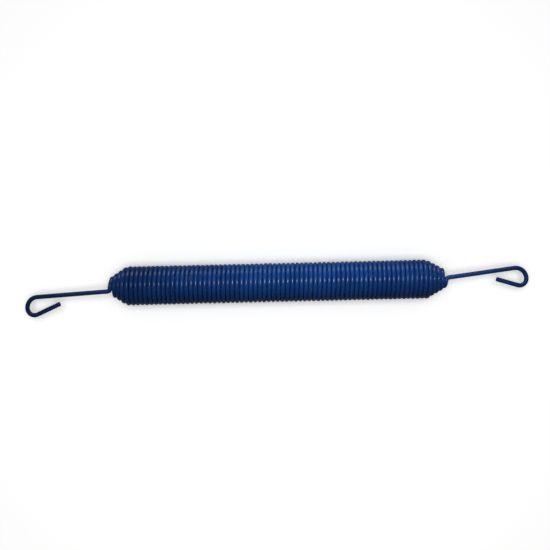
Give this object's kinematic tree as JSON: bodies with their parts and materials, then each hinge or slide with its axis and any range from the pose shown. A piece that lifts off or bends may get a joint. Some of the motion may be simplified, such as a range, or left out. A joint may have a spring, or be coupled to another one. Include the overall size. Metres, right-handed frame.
{
  "type": "extension spring",
  "caption": "Close-wound steel extension spring with tapered ends and a long open hook at each end, painted blue.",
  "frame": {"origin": "centre of the anchor hook's tighter bend, which is the axis of the peg that the hook hangs on", "axes": "+X runs along the coil's axis from the anchor hook to the pull hook; the coil's axis is at y = 9.0 mm and z = 0.1 mm; both hooks open towards -Y and lie within 8 degrees of the XY plane; +Z is square to them"},
  "size_m": [0.2296, 0.0222, 0.0179],
  "materials": {
    "blue_paint": "satin-gloss blue paint over spring steel"
  },
  "bodies": {
    "anchor_end": {"anchor_tip": "blue_paint", "anchor_hook": "blue_paint", "anchor_leg": "blue_paint", "anchor_leg_bend": "blue_paint", "anchor_end_turn": "blue_paint"},
    "coil_length_01": {"coil_length_01": "blue_paint"},
    "coil_length_02": {"coil_length_02": "blue_paint"},
    "coil_length_03": {"coil_length_03": "blue_paint"},
    "coil_length_04": {"coil_length_04": "blue_paint"},
    "coil_length_05": {"coil_length_05": "blue_paint"},
    "coil_length_06": {"coil_length_06": "blue_paint"},
    "coil_length_07": {"coil_length_07": "blue_paint"},
    "coil_length_08": {"coil_length_08": "blue_paint"},
    "coil_length_09": {"coil_length_09": "blue_paint"},
    "coil_length_10": {"coil_length_10": "blue_paint"},
    "coil_length_11": {"coil_length_11": "blue_paint"},
    "coil_length_12": {"coil_length_12": "blue_paint"},
    "coil_length_13": {"coil_length_13": "blue_paint"},
    "coil_length_14": {"coil_length_14": "blue_paint"},
    "coil_length_15": {"coil_length_15": "blue_paint"},
    "coil_length_16": {"coil_length_16": "blue_paint"},
    "coil_length_17": {"coil_length_17": "blue_paint"},
    "coil_length_18": {"coil_length_18": "blue_paint"},
    "coil_length_19": {"coil_length_19": "blue_paint"},
    "coil_length_20": {"coil_length_20": "blue_paint"},
    "coil_length_21": {"coil_length_21": "blue_paint"},
    "coil_length_22": {"coil_length_22": "blue_paint"},
    "coil_length_23": {"coil_length_23": "blue_paint"},
    "coil_length_24": {"coil_length_24": "blue_paint"},
    "coil_length_25": {"coil_length_25": "blue_paint"},
    "coil_length_26": {"coil_length_26": "blue_paint"},
    "coil_length_27": {"coil_length_27": "blue_paint"},
    "coil_length_28": {"coil_length_28": "blue_paint"},
    "coil_length_29": {"coil_length_29": "blue_paint"},
    "coil_length_30": {"coil_length_30": "blue_paint"},
    "coil_length_31": {"coil_length_31": "blue_paint"},
    "coil_length_32": {"coil_length_32": "blue_paint"},
    "coil_length_33": {"coil_length_33": "blue_paint"},
    "coil_length_34": {"coil_length_34": "blue_paint"},
    "coil_length_35": {"coil_length_35": "blue_paint"},
    "coil_length_36": {"coil_length_36": "blue_paint"},
    "pull_end": {"pull_end_turn": "blue_paint", "pull_leg_bend": "blue_paint", "pull_leg": "blue_paint", "pull_hook": "blue_paint", "pull_tip": "blue_paint"}
  },
  "joints": [
    {"name": "stretch", "type": "slide", "parent": "anchor_end", "child": "pull_end", "axis": [1, 0, 0], "range_m": [0, 0.1], "stiffness_N_per_m": 574, "springref_m": -0.028},
    {"name": "open_01", "type": "slide", "parent": "anchor_end", "child": "coil_length_01", "axis": [1, 0, 0], "range_m": [0, 0.0015]},
    {"name": "open_02", "type": "slide", "parent": "anchor_end", "child": "coil_length_02", "axis": [1, 0, 0], "range_m": [0, 0.0039]},
    {"name": "open_03", "type": "slide", "parent": "anchor_end", "child": "coil_length_03", "axis": [1, 0, 0], "range_m": [0, 0.0068]},
    {"name": "open_04", "type": "slide", "parent": "anchor_end", "child": "coil_length_04", "axis": [1, 0, 0], "range_m": [0, 0.0097]},
    {"name": "open_05", "type": "slide", "parent": "anchor_end", "child": "coil_length_05", "axis": [1, 0, 0], "range_m": [0, 0.0125]},
    {"name": "open_06", "type": "slide", "parent": "anchor_end", "child": "coil_length_06", "axis": [1, 0, 0], "range_m": [0, 0.0154]},
    {"name": "open_07", "type": "slide", "parent": "anchor_end", "child": "coil_length_07", "axis": [1, 0, 0], "range_m": [0, 0.0183]},
    {"name": "open_08", "type": "slide", "parent": "anchor_end", "child": "coil_length_08", "axis": [1, 0, 0], "range_m": [0, 0.0212]},
    {"name": "open_09", "type": "slide", "parent": "anchor_end", "child": "coil_length_09", "axis": [1, 0, 0], "range_m": [0, 0.0241]},
    {"name": "open_10", "type": "slide", "parent": "anchor_end", "child": "coil_length_10", "axis": [1, 0, 0], "range_m": [0, 0.027]},
    {"name": "open_11", "type": "slide", "parent": "anchor_end", "child": "coil_length_11", "axis": [1, 0, 0], "range_m": [0, 0.0298]},
    {"name": "open_12", "type": "slide", "parent": "anchor_end", "child": "coil_length_12", "axis": [1, 0, 0], "range_m": [0, 0.0327]},
    {"name": "open_13", "type": "slide", "parent": "anchor_end", "child": "coil_length_13", "axis": [1, 0, 0], "range_m": [0, 0.0356]},
    {"name": "open_14", "type": "slide", "parent": "anchor_end", "child": "coil_length_14", "axis": [1, 0, 0], "range_m": [0, 0.0385]},
    {"name": "open_15", "type": "slide", "parent": "anchor_end", "child": "coil_length_15", "axis": [1, 0, 0], "range_m": [0, 0.0414]},
    {"name": "open_16", "type": "slide", "parent": "anchor_end", "child": "coil_length_16", "axis": [1, 0, 0], "range_m": [0, 0.0443]},
    {"name": "open_17", "type": "slide", "parent": "anchor_end", "child": "coil_length_17", "axis": [1, 0, 0], "range_m": [0, 0.0471]},
    {"name": "open_18", "type": "slide", "parent": "anchor_end", "child": "coil_length_18", "axis": [1, 0, 0], "range_m": [0, 0.05]},
    {"name": "open_19", "type": "slide", "parent": "anchor_end", "child": "coil_length_19", "axis": [1, 0, 0], "range_m": [0, 0.0529]},
    {"name": "open_20", "type": "slide", "parent": "anchor_end", "child": "coil_length_20", "axis": [1, 0, 0], "range_m": [0, 0.0558]},
    {"name": "open_21", "type": "slide", "parent": "anchor_end", "child": "coil_length_21", "axis": [1, 0, 0], "range_m": [0, 0.0587]},
    {"name": "open_22", "type": "slide", "parent": "anchor_end", "child": "coil_length_22", "axis": [1, 0, 0], "range_m": [0, 0.0616]},
    {"name": "open_23", "type": "slide", "parent": "anchor_end", "child": "coil_length_23", "axis": [1, 0, 0], "range_m": [0, 0.0644]},
    {"name": "open_24", "type": "slide", "parent": "anchor_end", "child": "coil_length_24", "axis": [1, 0, 0], "range_m": [0, 0.0673]},
    {"name": "open_25", "type": "slide", "parent": "anchor_end", "child": "coil_length_25", "axis": [1, 0, 0], "range_m": [0, 0.0702]},
    {"name": "open_26", "type": "slide", "parent": "anchor_end", "child": "coil_length_26", "axis": [1, 0, 0], "range_m": [0, 0.0731]},
    {"name": "open_27", "type": "slide", "parent": "anchor_end", "child": "coil_length_27", "axis": [1, 0, 0], "range_m": [0, 0.076]},
    {"name": "open_28", "type": "slide", "parent": "anchor_end", "child": "coil_length_28", "axis": [1, 0, 0], "range_m": [0, 0.0789]},
    {"name": "open_29", "type": "slide", "parent": "anchor_end", "child": "coil_length_29", "axis": [1, 0, 0], "range_m": [0, 0.0817]},
    {"name": "open_30", "type": "slide", "parent": "anchor_end", "child": "coil_length_30", "axis": [1, 0, 0], "range_m": [0, 0.0846]},
    {"name": "open_31", "type": "slide", "parent": "anchor_end", "child": "coil_length_31", "axis": [1, 0, 0], "range_m": [0, 0.0875]},
    {"name": "open_32", "type": "slide", "parent": "anchor_end", "child": "coil_length_32", "axis": [1, 0, 0], "range_m": [0, 0.0904]},
    {"name": "open_33", "type": "slide", "parent": "anchor_end", "child": "coil_length_33", "axis": [1, 0, 0], "range_m": [0, 0.0933]},
    {"name": "open_34", "type": "slide", "parent": "anchor_end", "child": "coil_length_34", "axis": [1, 0, 0], "range_m": [0, 0.0962]},
    {"name": "open_35", "type": "slide", "parent": "anchor_end", "child": "coil_length_35", "axis": [1, 0, 0], "range_m": [0, 0.0985]},
    {"name": "open_36", "type": "slide", "parent": "anchor_end", "child": "coil_length_36", "axis": [1, 0, 0], "range_m": [0, 0.0998]}
  ],
  "couplings": [
    {"joint": "open_01", "follows": "stretch", "ratio": 0.0142},
    {"joint": "open_02", "follows": "stretch", "ratio": 0.0383},
    {"joint": "open_03", "follows": "stretch", "ratio": 0.0672},
    {"joint": "open_04", "follows": "stretch", "ratio": 0.096},
    {"joint": "open_05", "follows": "stretch", "ratio": 0.1249},
    {"joint": "open_06", "follows": "stretch", "ratio": 0.1537},
    {"joint": "open_07", "follows": "stretch", "ratio": 0.1825},
    {"joint": "open_08", "follows": "stretch", "ratio": 0.2114},
    {"joint": "open_09", "follows": "stretch", "ratio": 0.2402},
    {"joint": "open_10", "follows": "stretch", "ratio": 0.2691},
    {"joint": "open_11", "follows": "stretch", "ratio": 0.2979},
    {"joint": "open_12", "follows": "stretch", "ratio": 0.3267},
    {"joint": "open_13", "follows": "stretch", "ratio": 0.3556},
    {"joint": "open_14", "follows": "stretch", "ratio": 0.3844},
    {"joint": "open_15", "follows": "stretch", "ratio": 0.4132},
    {"joint": "open_16", "follows": "stretch", "ratio": 0.4421},
    {"joint": "open_17", "follows": "stretch", "ratio": 0.4709},
    {"joint": "open_18", "follows": "stretch", "ratio": 0.4998},
    {"joint": "open_19", "follows": "stretch", "ratio": 0.5286},
    {"joint": "open_20", "follows": "stretch", "ratio": 0.5574},
    {"joint": "open_21", "follows": "stretch", "ratio": 0.5863},
    {"joint": "open_22", "follows": "stretch", "ratio": 0.6151},
    {"joint": "open_23", "follows": "stretch", "ratio": 0.644},
    {"joint": "open_24", "follows": "stretch", "ratio": 0.6728},
    {"joint": "open_25", "follows": "stretch", "ratio": 0.7016},
    {"joint": "open_26", "follows": "stretch", "ratio": 0.7305},
    {"joint": "open_27", "follows": "stretch", "ratio": 0.7593},
    {"joint": "open_28", "follows": "stretch", "ratio": 0.7882},
    {"joint": "open_29", "follows": "stretch", "ratio": 0.817},
    {"joint": "open_30", "follows": "stretch", "ratio": 0.8458},
    {"joint": "open_31", "follows": "stretch", "ratio": 0.8747},
    {"joint": "open_32", "follows": "stretch", "ratio": 0.9035},
    {"joint": "open_33", "follows": "stretch", "ratio": 0.9323},
    {"joint": "open_34", "follows": "stretch", "ratio": 0.9612},
    {"joint": "open_35", "follows": "stretch", "ratio": 0.9849},
    {"joint": "open_36", "follows": "stretch", "ratio": 0.9971}
  ]
}
